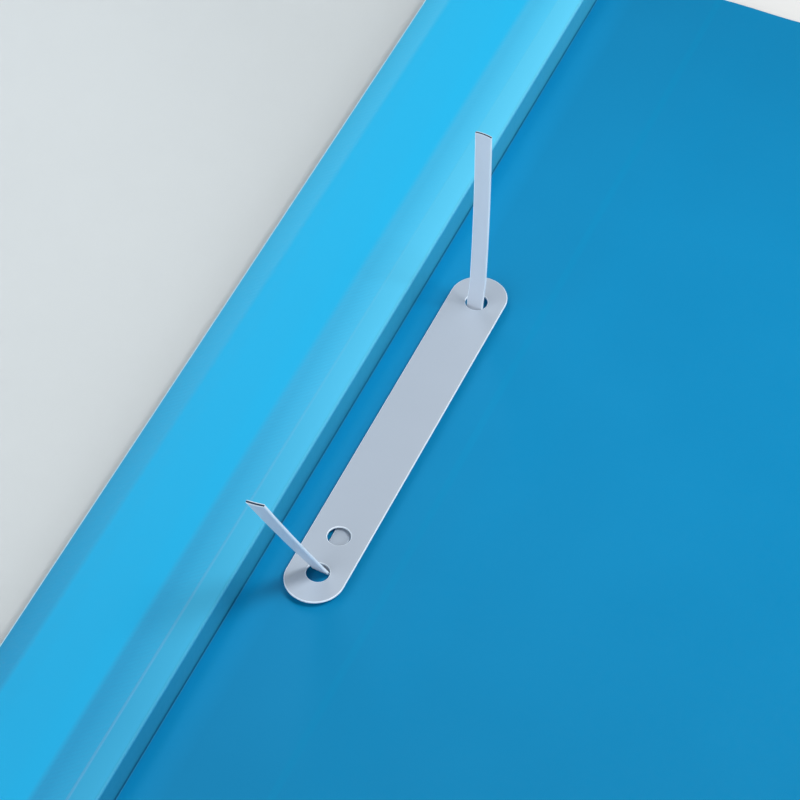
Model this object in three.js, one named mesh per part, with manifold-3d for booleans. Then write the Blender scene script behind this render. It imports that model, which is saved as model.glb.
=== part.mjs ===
// A two-hole report file for A4 sheets, lying open with its fastener standing up.
// Millimetres, +Z up. The file lies on the plane z = 0. The origin is on its underside,
// halfway between the two prongs. +Y runs along the spine, and +X points into the back cover.

import * as THREE from 'three';
import { mergeVertices } from 'three/addons/utils/BufferGeometryUtils.js';
import Module from 'manifold-3d';

// Sheets
const SHEET_LENGTH = 310;
const BACK_WIDTH = 228;
const FRONT_WIDTH = 225;
const CORNER_RADIUS = 6;
const BACK_THICKNESS = 0.5;
const FILM_THICKNESS = 0.4;
const CLEAR_THICKNESS = 0.25;
const FILM_GAP = 0.05;

// Spine, measured across the folder
const EDGE_DISTANCE = 12.4;
const FLAP_REACH = 17;
const RIDGE_HEIGHT = 6.6;
const WALL_LEAN = THREE.MathUtils.degToRad(4.6);
const FOLD_RADIUS = 0.4;
const CREASE_GAP = 0.35;
const BAND_WIDTH = 5;
const INNER_WELD_WIDTH = 6.65;
const POCKET_WIDTH = 16.75;
const OUTER_WELD_WIDTH = 5.2;
const WELD_DEPTH = 0.08;
const POCKET_STEP = 0.3;

// Step in the back cover where it comes down off the flap
const STEP_CLEARANCE = 0.5;
const STEP_WIDTH = 2.5;

// Paper label in the spine pocket
const LABEL_LENGTH = 290;
const LABEL_THICKNESS = 0.2;
const LABEL_SIDE_GAP = 0.4;

// Strap punched out of the back cover, which holds the steel strip. The shapes that cut the
// sheet reach this far above and below the table.
const STRAP_LENGTH = 24;
const STRAP_CROWN = 5.2;
const STRAP_SPAN = 10;
const STRAP_CLEARANCE = 0.05;
const SLIT_WIDTH = 0.4;
const STRAP_ROOT = 0.3;
const CUT_HEIGHT = 3;

// Steel strip with its two prongs
const STRIP_WIDTH = 3.7;
const STRIP_THICKNESS = 0.6;
const BEND_RADIUS = 0.5;
const UPPER_FOOT_FROM_CENTRE = 38.98;
const LOWER_FOOT_FROM_CENTRE = 39.2;
const FOOT_OFFSET = 0.05;
const FOOT_LEAD = 1;
const PRONG_TWIST = THREE.MathUtils.degToRad(5);
const PRONG_LENGTH = 45.4;
const UPPER_LEAN = THREE.MathUtils.degToRad(5.3);
const UPPER_CURVE = THREE.MathUtils.degToRad(5.3);
const LOWER_LEAN = THREE.MathUtils.degToRad(28.6);
const LOWER_CURVE = THREE.MathUtils.degToRad(2.6);
const FOLD_GAP = 0.3;

// Compressor bar that presses the sheets
const BAR_LENGTH = 95.2;
const BAR_WIDTH = 12.3;
const BAR_THICKNESS = 0.5;
const BAR_CLEARANCE = 0.05;
const HOLE_DIAMETER = 5;
const HOLE_PITCH = 80;
const SPARE_HOLE_FROM_LOWER = 10;
const BAR_LIFT = 2.2;
const LIFT_CLEARANCE = 0.2;

// Smoothness of round stretches
const ARC_STEPS = 10;
const CURVE_SEGMENTS = 12;

// Heights of the stack under the bar, from the table up
const coverTop = FILM_THICKNESS + BACK_THICKNESS;
const stripTop = coverTop + STRIP_THICKNESS;
const strapUnderside = stripTop + STRAP_CLEARANCE;
const barBottom = strapUnderside + BACK_THICKNESS + BAR_CLEARANCE;
const barTop = barBottom + BAR_THICKNESS;
const foldHeight = barTop + BAR_LIFT + LIFT_CLEARANCE + STRIP_THICKNESS / 2;

// Spine crease: the wall climbs from the fold under the cover's edge to this pivot
const foldCentreRadius = FOLD_RADIUS + FILM_THICKNESS / 2;
const pivotHeight = RIDGE_HEIGHT - FILM_THICKNESS / 2;
const wallStart = new THREE.Vector2(
  -EDGE_DISTANCE - foldCentreRadius * Math.cos(WALL_LEAN),
  FILM_THICKNESS / 2 + foldCentreRadius * (1 - Math.sin(WALL_LEAN)),
);
const wallRun = (pivotHeight - wallStart.y) / Math.cos(WALL_LEAN);
const pivotX = wallStart.x - wallRun * Math.sin(WALL_LEAN);

// Slope of the opened front cover, from the crease down to its far edge on the table
const clearBottom = -(FILM_THICKNESS / 2 + FILM_GAP + CLEAR_THICKNESS);
const frontSlope =
  Math.asin(pivotHeight / Math.hypot(FRONT_WIDTH, clearBottom)) -
  Math.atan2(-clearBottom, FRONT_WIDTH);

const wasm = await Module();
wasm.setup();

// Turns a closed geometry into a solid for joining and cutting.
function toSolid(geometry) {
  const bare = geometry.index ? geometry.toNonIndexed() : geometry.clone();
  bare.deleteAttribute('normal');
  bare.deleteAttribute('uv');
  const merged = mergeVertices(bare, 1e-5);
  return new wasm.Manifold(
    new wasm.Mesh({
      numProp: 3,
      vertProperties: Float32Array.from(merged.attributes.position.array),
      triVerts: Uint32Array.from(merged.index.array),
    }),
  );
}

function toGeometry(solid) {
  const mesh = solid.getMesh();
  const geometry = new THREE.BufferGeometry();
  geometry.setAttribute('position', new THREE.BufferAttribute(mesh.vertProperties, 3));
  geometry.setIndex(new THREE.BufferAttribute(mesh.triVerts, 1));
  geometry.computeVertexNormals();
  return geometry;
}

function extrude(shape, depth) {
  const settings = { depth, bevelEnabled: false, curveSegments: CURVE_SEGMENTS };
  return new THREE.ExtrudeGeometry(shape, settings);
}

// A shape drawn in X and Y, standing from one height to another.
function raise(shape, bottom, top) {
  return extrude(shape, top - bottom).translate(0, 0, bottom);
}

// A shape drawn in X and Z, swept along Y.
function sweepAlongY(shape, from, to) {
  return extrude(shape, to - from).rotateX(Math.PI / 2).translate(0, to, 0);
}

// A shape drawn in Y and Z, swept along X with its middle at x = 0.
function sweepAlongX(shape, width) {
  const axes = new THREE.Matrix4().makeBasis(
    new THREE.Vector3(0, 1, 0),
    new THREE.Vector3(0, 0, 1),
    new THREE.Vector3(1, 0, 0),
  );
  return extrude(shape, width).applyMatrix4(axes).translate(-width / 2, 0, 0);
}

// Follows a strip that is bent in one plane. A leg is a straight run or a turn of some radius.
// Each station has a point of the centre line and the heading there.
function centreLine(start, heading, legs) {
  const stations = [{ point: start.clone(), heading }];
  for (const leg of legs) {
    const steps = leg.turn ? ARC_STEPS : 1;
    const turn = (leg.turn ?? 0) / steps;
    const chord = leg.turn ? 2 * leg.radius * Math.sin(Math.abs(turn) / 2) : leg.run;
    for (let step = 0; step < steps; step++) {
      const last = stations.at(-1);
      const aim = last.heading + turn / 2;
      const move = new THREE.Vector2(Math.cos(aim), Math.sin(aim)).multiplyScalar(chord);
      stations.push({ point: last.point.clone().add(move), heading: last.heading + turn });
    }
  }
  return stations;
}

function beside(station, angle, distance) {
  const aim = station.heading + angle;
  return new THREE.Vector2(Math.cos(aim), Math.sin(aim))
    .multiplyScalar(distance)
    .add(station.point);
}

// The outline of a strip of even thickness along a centre line.
function stripOutline(stations, thickness, roundStart = false) {
  const half = thickness / 2;
  const right = stations.map((station) => beside(station, -Math.PI / 2, half));
  const left = stations.map((station) => beside(station, Math.PI / 2, half)).reverse();
  const cap = [];
  if (roundStart) {
    for (let step = 1; step < ARC_STEPS; step++) {
      const angle = Math.PI / 2 + (Math.PI * step) / ARC_STEPS;
      cap.push(beside(stations[0], angle, half));
    }
  }
  return new THREE.Shape([...right, ...left, ...cap]);
}

// A closed outline between an underside and an upper side, each a list of x and z.
function betweenLines(under, over) {
  const points = [...under, ...[...over].reverse()];
  return new THREE.Shape(points.map(([x, z]) => new THREE.Vector2(x, z)));
}

function layer(under, thickness) {
  return betweenLines(
    under,
    under.map(([x, z]) => [x, z + thickness]),
  );
}

// A cover seen from above: square at the spine, rounded at the two outer corners.
function coverOutline(spineX, outerX) {
  const half = SHEET_LENGTH / 2;
  const side = Math.sign(outerX - spineX);
  const inset = outerX - side * CORNER_RADIUS;
  const low = half - CORNER_RADIUS;
  const shape = new THREE.Shape();
  shape.moveTo(spineX, -half);
  shape.lineTo(inset, -half);
  for (const [turn, end] of [[-Math.PI / 2, -low], [0, low]]) {
    for (let step = 0; step <= ARC_STEPS; step++) {
      const angle = turn + (Math.PI / 2) * (step / ARC_STEPS);
      shape.lineTo(
        inset + side * CORNER_RADIUS * Math.cos(angle),
        end + CORNER_RADIUS * Math.sin(angle),
      );
    }
  }
  shape.lineTo(spineX, half);
  return shape;
}

function rectangle(left, right, bottom, top) {
  return betweenLines([[left, bottom], [right, bottom]], [[left, top], [right, top]]);
}

function stadium(width, length) {
  const radius = width / 2;
  const end = length / 2 - radius;
  const shape = new THREE.Shape();
  shape.absarc(0, end, radius, 0, Math.PI);
  shape.absarc(0, -end, radius, Math.PI, 2 * Math.PI);
  return shape;
}

function plastic(color, roughness, opacity = 1) {
  return new THREE.MeshStandardMaterial({
    color,
    roughness,
    metalness: 0,
    opacity,
    transparent: opacity < 1,
  });
}

function coatedSteel() {
  return new THREE.MeshStandardMaterial({ color: 0xdfe6f0, roughness: 0.42, metalness: 0 });
}

function piece(name, geometry, material) {
  const mesh = new THREE.Mesh(geometry, material);
  mesh.name = name;
  return mesh;
}

// The strap's underside rises smoothly from the cover to its crown over the steel strip.
function strapLine() {
  const crown = STRAP_CROWN / 2;
  const foot = STRAP_SPAN / 2;
  const rise = strapUnderside - FILM_THICKNESS;
  const line = [[-foot - STRAP_ROOT, FILM_THICKNESS]];
  for (let step = 0; step <= 2 * ARC_STEPS; step++) {
    const x = foot * (step / ARC_STEPS - 1);
    const drop = THREE.MathUtils.smoothstep(Math.abs(x), crown, foot);
    line.push([x, FILM_THICKNESS + rise * (1 - drop)]);
  }
  line.push([foot + STRAP_ROOT, FILM_THICKNESS]);
  return line;
}

// The back cover lies on the flap near the spine and on the table beyond it.
function backCover() {
  const half = SHEET_LENGTH / 2;
  const left = -EDGE_DISTANCE;
  const right = left + BACK_WIDTH;
  const step = FLAP_REACH + STEP_CLEARANCE;
  const under = [
    [left, FILM_THICKNESS],
    [step, FILM_THICKNESS],
    [step + STEP_WIDTH, 0],
    [right, 0],
  ];
  const outline = toSolid(raise(coverOutline(left, right), -CUT_HEIGHT, CUT_HEIGHT));
  const sheet = toSolid(sweepAlongY(layer(under, BACK_THICKNESS), -half, half));
  const foot = STRAP_SPAN / 2;
  const slit = STRAP_LENGTH / 2 + SLIT_WIDTH;
  const window = rectangle(-foot, foot, -slit, slit);
  const punched = toSolid(raise(window, -CUT_HEIGHT, CUT_HEIGHT));
  const strap = toSolid(
    sweepAlongY(layer(strapLine(), BACK_THICKNESS), -STRAP_LENGTH / 2, STRAP_LENGTH / 2),
  );
  const solid = sheet.intersect(outline).subtract(punched).add(strap);
  return piece('back_cover', toGeometry(solid), plastic(0x1684c4, 0.5));
}

// The spine film starts as a flap under the back cover, then folds up into the wall.
function spineFlap() {
  const flap = rectangle(-EDGE_DISTANCE, FLAP_REACH, 0, FILM_THICKNESS);
  const half = SHEET_LENGTH / 2;
  return piece('spine_back_flap', sweepAlongY(flap, -half, half), plastic(0x2f9fd0, 0.45));
}

function spineWall() {
  const half = SHEET_LENGTH / 2;
  const foot = new THREE.Vector2(-EDGE_DISTANCE, FILM_THICKNESS / 2);
  const stations = centreLine(foot, Math.PI, [
    { turn: WALL_LEAN - Math.PI / 2, radius: foldCentreRadius },
    { run: wallRun - CREASE_GAP },
  ]);
  const wall = stripOutline(stations, FILM_THICKNESS);
  return piece('spine_wall', sweepAlongY(wall, -half, half), plastic(0x2f9fd0, 0.45));
}

// Beyond the crease the same film is the label strip: a plain band, a pressed weld, the raised
// pocket and the outer weld. Heights are measured from the middle of the film at the crease.
function spineFrontPanel() {
  const half = SHEET_LENGTH / 2;
  const low = -FILM_THICKNESS / 2;
  const high = FILM_THICKNESS / 2;
  const lift = LABEL_THICKNESS + FILM_GAP;
  const inner = -BAND_WIDTH - INNER_WELD_WIDTH;
  const outer = inner - POCKET_WIDTH;
  const free = outer - OUTER_WELD_WIDTH;
  const under = [
    [free, low],
    [outer, low],
    [outer + POCKET_STEP, low + lift],
    [inner - POCKET_STEP, low + lift],
    [inner, low],
    [-CREASE_GAP, low],
  ];
  const over = [
    [free, high - WELD_DEPTH],
    [outer, high - WELD_DEPTH],
    [outer + POCKET_STEP, high + lift],
    [inner - POCKET_STEP, high + lift],
    [inner, high - WELD_DEPTH],
    [-BAND_WIDTH, high - WELD_DEPTH],
    [-BAND_WIDTH + POCKET_STEP, high],
    [-CREASE_GAP, high],
  ];
  const strip = sweepAlongY(betweenLines(under, over), -half, half);
  return piece('spine_front_panel', strip, plastic(0x45b4e2, 0.4, 0.85));
}

function frontCover() {
  const top = -FILM_THICKNESS / 2 - FILM_GAP;
  const sheet = raise(coverOutline(-BAND_WIDTH, -FRONT_WIDTH), top - CLEAR_THICKNESS, top);
  return piece('front_cover', toGeometry(toSolid(sheet)), plastic(0xeef6fa, 0.2, 0.3));
}

function labelInsert() {
  const right = -BAND_WIDTH - INNER_WELD_WIDTH - LABEL_SIDE_GAP;
  const left = right - POCKET_WIDTH + 2 * LABEL_SIDE_GAP;
  const half = LABEL_LENGTH / 2;
  const bottom = -FILM_THICKNESS / 2;
  const label = rectangle(left, right, -half, half);
  const sheet = raise(label, bottom, bottom + LABEL_THICKNESS);
  return piece('label_insert', sheet, plastic(0xf4f6f6, 0.9));
}

// Each prong stands in a frame of its own, with +Y pointing outward along the strip and the
// origin where its centre line crosses the plane of the bar's upper face.
const prongs = [
  {
    name: 'prong_upper',
    foot: UPPER_FOOT_FROM_CENTRE,
    turn: -PRONG_TWIST,
    lean: UPPER_LEAN,
    curve: UPPER_CURVE,
  },
  {
    name: 'prong_lower',
    foot: -LOWER_FOOT_FROM_CENTRE,
    turn: Math.PI - PRONG_TWIST,
    lean: LOWER_LEAN,
    curve: LOWER_CURVE,
  },
];

// How the strip leaves the flat, turns up and climbs to the fold of one prong.
function riserPlan(lean) {
  const radius = BEND_RADIUS + STRIP_THICKNESS / 2;
  const turn = Math.PI / 2 - lean;
  const bendTop = coverTop + STRIP_THICKNESS / 2 + radius * (1 - Math.cos(turn));
  const reach = radius * Math.sin(turn) + (barTop - bendTop) * Math.tan(lean);
  const run = (foldHeight - bendTop) / Math.cos(lean) - STRIP_THICKNESS / 2 - FOLD_GAP;
  return { radius, turn, reach, run };
}

// The flat strip on the back cover, with a riser through the bar's hole at each end.
function fastenerBase() {
  const level = coverTop + STRIP_THICKNESS / 2;
  const [upperReach, lowerReach] = prongs.map((prong) => riserPlan(prong.lean).reach);
  const flat = rectangle(
    FOOT_OFFSET - STRIP_WIDTH / 2,
    FOOT_OFFSET + STRIP_WIDTH / 2,
    lowerReach - LOWER_FOOT_FROM_CENTRE,
    UPPER_FOOT_FROM_CENTRE - upperReach,
  );
  let solid = toSolid(raise(flat, coverTop, stripTop));
  for (const prong of prongs) {
    const plan = riserPlan(prong.lean);
    const start = new THREE.Vector2(-plan.reach - FOOT_LEAD, level);
    const stations = centreLine(start, 0, [
      { run: FOOT_LEAD },
      { turn: plan.turn, radius: plan.radius },
      { run: plan.run },
    ]);
    const riser = sweepAlongX(stripOutline(stations, STRIP_THICKNESS), STRIP_WIDTH)
      .rotateZ(prong.turn)
      .translate(FOOT_OFFSET, prong.foot, 0);
    solid = solid.add(toSolid(riser));
  }
  return piece('fastener_base', toGeometry(solid), coatedSteel());
}

// A prong from its fold to its cut tip, bowed slightly inward.
function prongOnFold(prong) {
  const stations = centreLine(new THREE.Vector2(), Math.PI / 2, [
    { turn: prong.curve, radius: PRONG_LENGTH / prong.curve },
  ]);
  const blade = sweepAlongX(stripOutline(stations, STRIP_THICKNESS, true), STRIP_WIDTH);
  const mesh = piece(prong.name, blade, coatedSteel());
  mesh.position.set(0, (foldHeight - barTop) * Math.tan(prong.lean), foldHeight);
  mesh.rotation.x = -prong.lean;
  const frame = new THREE.Group();
  frame.add(mesh);
  frame.position.set(FOOT_OFFSET, prong.foot, 0);
  frame.rotation.z = prong.turn;
  return frame;
}

// The bar has a hole for each prong and a spare one for the closer hole spacing.
function compressorBar() {
  const shape = stadium(BAR_WIDTH, BAR_LENGTH);
  const lower = -HOLE_PITCH / 2;
  for (const y of [HOLE_PITCH / 2, lower, lower + SPARE_HOLE_FROM_LOWER]) {
    const hole = new THREE.Path();
    hole.absarc(0, y, HOLE_DIAMETER / 2, 0, 2 * Math.PI, true);
    shape.holes.push(hole);
  }
  return piece('compressor_bar', raise(shape, barBottom, barTop), coatedSteel());
}

const front = new THREE.Group();
front.add(spineFrontPanel(), frontCover(), labelInsert());
front.position.set(pivotX, 0, pivotHeight);
front.rotation.y = -frontSlope;

const folder = new THREE.Group();
folder.add(backCover(), spineFlap(), spineWall(), front);
folder.add(fastenerBase(), compressorBar(), ...prongs.map(prongOnFold));

export default folder;
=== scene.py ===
"""Report file for A4 sheets with a two prong paper fastener, lying open.

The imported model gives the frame. Lengths are in millimetres here and turned into metres where a
mesh is made. The origin is on the underside, halfway between the prongs. +Y runs along the spine
and +X points into the back cover.
"""

import math

import bmesh
import bpy
import numpy as np
from mathutils import Matrix, Vector


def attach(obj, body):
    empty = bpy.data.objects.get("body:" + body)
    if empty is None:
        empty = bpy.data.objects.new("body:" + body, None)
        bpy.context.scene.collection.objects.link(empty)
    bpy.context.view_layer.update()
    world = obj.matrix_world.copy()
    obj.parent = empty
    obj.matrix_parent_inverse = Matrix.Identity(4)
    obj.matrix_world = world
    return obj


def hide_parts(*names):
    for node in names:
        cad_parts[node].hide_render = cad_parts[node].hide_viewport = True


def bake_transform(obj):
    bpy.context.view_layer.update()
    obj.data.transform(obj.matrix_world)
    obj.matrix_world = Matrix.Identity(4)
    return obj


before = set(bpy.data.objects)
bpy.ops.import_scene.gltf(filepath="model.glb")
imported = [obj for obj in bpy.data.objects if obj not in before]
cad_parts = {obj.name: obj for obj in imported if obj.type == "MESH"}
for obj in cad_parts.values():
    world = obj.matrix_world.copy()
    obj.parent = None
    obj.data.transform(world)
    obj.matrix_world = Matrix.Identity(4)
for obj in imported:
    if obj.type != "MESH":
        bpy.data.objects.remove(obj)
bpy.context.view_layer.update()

MM = 0.001
SHARP_ANGLE = math.radians(32)
LEVEL_COSINE = 0.9999

# Sheets
SHEET_LENGTH = 310.0
BACK_WIDTH = 228.0
FRONT_WIDTH = 225.0
CORNER_RADIUS = 6.0
CORNER_POINTS = 9
BACK_THICKNESS = 0.5
FILM_THICKNESS = 0.4
CLEAR_THICKNESS = 0.25
FILM_GAP = 0.05
CUT_EDGE = 0.09
FREE_EDGE = 0.22
FREE_EDGE_EASE = 0.06
SPINE_LIP = 0.2

# Spine
EDGE_DISTANCE = 12.4
FLAP_REACH = 17.0
RIDGE_HEIGHT = 6.6
WALL_LEAN = math.radians(4.6)
FOLD_RADIUS = 0.6
CREASE_RADIUS = 0.34
ROUND_STEPS = 8
BAND_WIDTH = 5.0
INNER_WELD_WIDTH = 6.65
POCKET_WIDTH = 16.75
OUTER_WELD_WIDTH = 5.2
WELD_DEPTH = 0.08
WELD_EASE = 1.0
POCKET_LIFT = 0.25
POCKET_STEP = 0.35
POCKET_EASE = 5.0
SCORE_WIDTH = 0.3
SCORE_HEIGHT = 0.02

# Back cover
STEP_START = 17.5
STEP_WIDTH = 14.0
STEP_POINTS = 9
STRAP_LENGTH = 24.0
STRAP_SPAN = 10.0
STRAP_CROWN = 5.2
STRAP_UNDERSIDE = 1.55
STRAP_POINTS = 25
SLIT_WIDTH = 0.4
SEAM_DISTANCE = 13.9
SEAM_WIDTH = 1.5

# Further lines of the sheets' grids. Columns are places along the spine, rows are places across.
STRAP_COLUMNS = (4, 8)
BACK_COLUMNS = (20, 60, 100, 140)
CLEAR_COLUMNS = (40, 80, 120)
FILM_COLUMNS = (30, 60, 90, 120, 150)
SPINE_SIDE_ROWS = (-9, -6.5)
OPEN_SIDE_ROWS = (6.5, 9, 13)
BACK_ROWS = (45, 70, 100, 140, 180, 205)
FLAP_ROWS = (8.0, -4.0)

# Rows measured from the crease, from the foot of the wall, from the score line and from the pocket
CLEAR_ROWS = (-12, -28, -33, -60, -100, -140, -180, -210)
BAND_ROWS = (1.5, 3.0)
WALL_ROWS = (1.0, 2.5, 4.0)
INNER_WELD_ROW = 3
OUTER_WELD_ROW = 2.5

# How many points the stretches of the label strip have
WELD_POINTS = 4
POCKET_STEP_POINTS = 5
POCKET_EASE_POINTS = 9
POCKET_POINTS = 4

# Paper label
LABEL_LENGTH = 290.0
LABEL_THICKNESS = 0.2
LABEL_SIDE_GAP = 0.4
LABEL_POINTS = (9, 41)

# Steel strip
STRIP_WIDTH = 3.7
STRIP_THICKNESS = 0.6
STRIP_EDGE_RADIUS = 0.2
RIM_STEPS = 4
FLAT_STEPS = 6
BEND_RADIUS = 1.4
FOOT_OFFSET = 0.05
PRONG_TWIST = math.radians(5)
CORE_SHARE = 0.6
BASE_END = 34.5
BASE_POINTS = 24

# Pressing bar
BAR_LENGTH = 95.2
BAR_WIDTH = 12.3
BAR_BOTTOM = 2.1
BAR_TOP = 2.6
BAR_RIM = 0.19
BAR_END_STEPS = 48
HOLE_RADIUS = 2.36
HOLE_STEPS = 64
HOLE_PLACES = ((0.14, 40.0), (0.0, -40.0), (0.0, -30.0))
MERGE_DISTANCE = 0.001

# Prongs. Each has the place of its foot along the spine, its turn about the vertical, its lean and
# the angle it curves back by in degrees, how far the middle of its section stands out, its length
# above the fold line, its shift and bow to one side, and the angle it twists by up to the tip.
FOLD_HEIGHT = 5.3
BOW_HEIGHT = 10.0
ARCH_HEIGHT = 11.6
SEAM_POINTS = 7
BEND_POINTS = 13
RISER_POINTS = 7
ROOT_SHARE = 0.12
ROOT_POINTS = 9
BLADE_POINTS = 17
PRONGS = {
    "upper": {
        "foot": 38.98,
        "turn": -PRONG_TWIST,
        "lean": 5.3,
        "curve": 5.3,
        "arch": 0.2,
        "length": 44.75,
        "shift": 0.17,
        "bow": 0.30,
        "twist": 0.0,
    },
    "lower": {
        "foot": -39.2,
        "turn": math.pi - PRONG_TWIST,
        "lean": 27.8,
        "curve": 1.7,
        "arch": 0.06,
        "length": 45.38,
        "shift": 0.0,
        "bow": 0.0,
        "twist": 8.5,
    },
}

# Materials, with places in millimetres from the middle of the file
NOISE_MIDDLE = (0.3, 0.7)
GRAIN_SCALE = 2600
GLOSS_SCALE = 700
EDGE_SHADE = 0.9
ENAMEL_SHADE = 0.985
SEAM_PITCH = 1.3
WELD_PITCH = 1.25
# Painted light on the back sheet beside the spine wall, and painted shade towards its ends
PAINTED_WALL_LIGHT = 1.25
PAINTED_WALL_LIGHT_END = -4.0
END_SHADE = 0.86
LOWER_SHADE_FADE = (-90.0, 10.0)
UPPER_SHADE_FADE = (80.0, 150.0)
INNER_POCKET_EASE = (-0.9, 0.4)
OUTER_POCKET_EASE = (-0.6, 0.6)
PAPER_SHARE = 0.6
WHITENING = 0.055
WHITENING_FADE = (-90.0, 70.0)
FILM_ALPHA = 0.86
HAZE_RANGE = (0.03, 0.04)
GRAZING_POWER = 5.0
GRAZING_GLOSS = 0.9
FACING_GLOSS = 0.035
# The flap, fold and wall tones are painted shade on the spine wall and where the film turns under
# the back cover. The crease tone is a painted highlight along the crease.
FILM_TONES = {
    "flap": (0.018, 0.258, 0.453),
    "fold": (0.010, 0.245, 0.450),
    "wall": (0.034, 0.355, 0.555),
    "crease": (0.110, 0.550, 0.795),
    "ridge": (0.120, 0.677, 0.979),
    "band": (0.102, 0.624, 0.917),
    "score": (0.110, 0.635, 0.930),
    "seam": (0.079, 0.629, 0.958),
    "weld": (0.059, 0.524, 0.836),
    "pocket": (0.018, 0.540, 0.915),
    "rim": (0.041, 0.462, 0.752),
}

# Where the film has each tone: a line of the film, the distance beyond it and the tone
FILM_STOPS = (
    ("fold", -0.6, "flap"),
    ("fold", 0.1, "fold"),
    ("fold", 0.55, "fold"),
    ("fold", 0.9, "wall"),
    ("ridge", -0.6, "wall"),
    ("ridge", 0.0, "crease"),
    ("ridge", 0.5, "ridge"),
    ("band", -SCORE_WIDTH, "band"),
    ("band", 0.0, "score"),
    ("band", SCORE_WIDTH, "seam"),
    ("inner", -2.2, "weld"),
    ("inner", INNER_POCKET_EASE[0], "weld"),
    ("inner", INNER_POCKET_EASE[1], "pocket"),
    ("pocket", OUTER_POCKET_EASE[0], "pocket"),
    ("pocket", OUTER_POCKET_EASE[1], "weld"),
    ("free", 0.0, "rim"),
)

# Painted shade along the spine, darker towards the lower end, as places and shares of the film's
# tone
FILM_SHADE_STOPS = (
    (-90.0, (0.37, 0.64, 0.74)),
    (-50.0, (0.47, 0.73, 0.81)),
    (-20.0, (0.60, 0.80, 0.87)),
    (0.0, (0.70, 0.86, 0.92)),
    (40.0, (0.84, 0.94, 0.97)),
    (130.0, (1.0, 1.0, 1.0)),
)

# Studio, in metres. Each glow of its walls has a direction, a strength and the cosines where it
# fades in. Each softbox has a place, a width, a power and a tint, and points at the origin.
GLOWS = {
    "sky": ((0.25, -0.85, 0.46), 0.25, (-0.6, 1.0)),
    "horizon": ((0.0, 0.0, -1.0), 0.6, (-0.38, -0.08)),
    "front": ((-0.42, -0.86, 0.28), 2.2, (0.70, 0.96)),
    "side": ((0.86, 0.43, 0.28), 2.4, (0.80, 0.97)),
}
WALL_LEVEL = 0.06
SOFTBOXES = {
    "main": ((0.66, 0.08, 1.24), 0.38, 10.0, (1.0, 0.99, 0.97)),
    "fill": ((-0.55, 0.50, 0.62), 0.4, 1.3, (0.95, 0.98, 1.0)),
}
FLOOR_REACH = 9.0
FLOOR_DROP = 0.00005

# Camera, in millimetres again
CAMERA_PLACE = (165.3, -376.4, 471.8)
CAMERA_DIRECTION = (-0.2681, 0.6105, -0.7453)
CAMERA_LENS = 137.57
SENSOR_WIDTH = 36.0
NEAR_LIMIT = 10.0

# Spine wall and crease, as places across the file and heights
cover_top = FILM_THICKNESS + BACK_THICKNESS
wall_foot = np.array(
    [
        -EDGE_DISTANCE - FOLD_RADIUS * math.cos(WALL_LEAN),
        FILM_THICKNESS / 2 + FOLD_RADIUS * (1 - math.sin(WALL_LEAN)),
    ]
)
wall_aim = np.array([-math.sin(WALL_LEAN), math.cos(WALL_LEAN)])
pivot_height = RIDGE_HEIGHT - FILM_THICKNESS / 2
wall_run = (pivot_height - wall_foot[1]) / wall_aim[1]
pivot = wall_foot + wall_run * wall_aim

# Clear film, measured from the crease, and the slope of the front cover
clear_top = -FILM_THICKNESS / 2 - FILM_GAP
clear_bottom = clear_top - CLEAR_THICKNESS
front_slope = math.asin(pivot_height / math.hypot(FRONT_WIDTH, clear_bottom)) - math.atan2(
    -clear_bottom, FRONT_WIDTH
)


def smooth(value, start, end):
    """Eases from 0 at start to 1 at end."""
    share = np.clip((np.asarray(value, float) - start) / (end - start), 0, 1)
    return share * share * (3 - 2 * share)


def onward(start, end, count):
    """The places of an even row from start to end, without the start itself."""
    return list(np.linspace(start, end, count)[1:])


def both_ways(places):
    return [-place for place in reversed(places)] + [0.0] + list(places)


def unit_rows(vectors):
    return vectors / np.linalg.norm(vectors, axis=1)[:, None]


def front_to_file(x, z):
    """Turns a point of the front cover, measured from the crease, into its place and height."""
    cosine = math.cos(front_slope)
    sine = math.sin(front_slope)
    return np.array([pivot[0] + x * cosine - z * sine, pivot[1] + x * sine + z * cosine])


# Closed meshes


def slab(name, top, bottom, flat_map, materials, keep=None, levels=(0, 1), paint=None):
    """A closed sheet between two grids of points. The wall round it has one row of faces for
    each pair of levels, and paint gives the material of a face from its kind and its cell."""
    rows, columns = top.shape[:2]
    if keep is None:
        keep = np.ones((rows - 1, columns - 1), bool)
    mesh = bmesh.new()
    layer = mesh.loops.layers.uv.new("Flat")
    found = {}

    def corner(row, column, level):
        key = (row, column, level)
        if key not in found:
            place = bottom[row, column] * (1 - level) + top[row, column] * level
            found[key] = mesh.verts.new(place * MM)
        return found[key]

    def face(corners, kind, cell):
        made = mesh.faces.new([corner(*key) for key in corners])
        for loop, key in zip(made.loops, corners):
            loop[layer].uv = flat_map[key[0], key[1]] * MM
        made.material_index = paint(kind, cell) if paint else 0

    def kept(row, column):
        inside = 0 <= row < rows - 1 and 0 <= column < columns - 1
        return inside and keep[row, column]

    for row in range(rows - 1):
        for column in range(columns - 1):
            if not keep[row, column]:
                continue
            ring = [
                (row, column),
                (row + 1, column),
                (row + 1, column + 1),
                (row, column + 1),
            ]
            cell = (row, column)
            face([(*place, 1) for place in ring], "top", cell)
            face([(*place, 0) for place in reversed(ring)], "bottom", cell)
            sides = {
                "right": (ring[0], ring[1], kept(row, column - 1)),
                "end": (ring[1], ring[2], kept(row + 1, column)),
                "left": (ring[2], ring[3], kept(row, column + 1)),
                "start": (ring[3], ring[0], kept(row - 1, column)),
            }
            for side, (first, second, joined) in sides.items():
                if joined:
                    continue
                for step in range(len(levels) - 1):
                    low = levels[step]
                    high = levels[step + 1]
                    corners = [(*first, low), (*second, low), (*second, high), (*first, high)]
                    face(corners, (side, step), cell)
    bmesh.ops.recalc_face_normals(mesh, faces=mesh.faces)
    return finished(name, mesh, materials)


def is_wall(kind):
    """Tells the wall round a sheet, whose kind is a side and a step, from its top and bottom."""
    return isinstance(kind, tuple)


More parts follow.
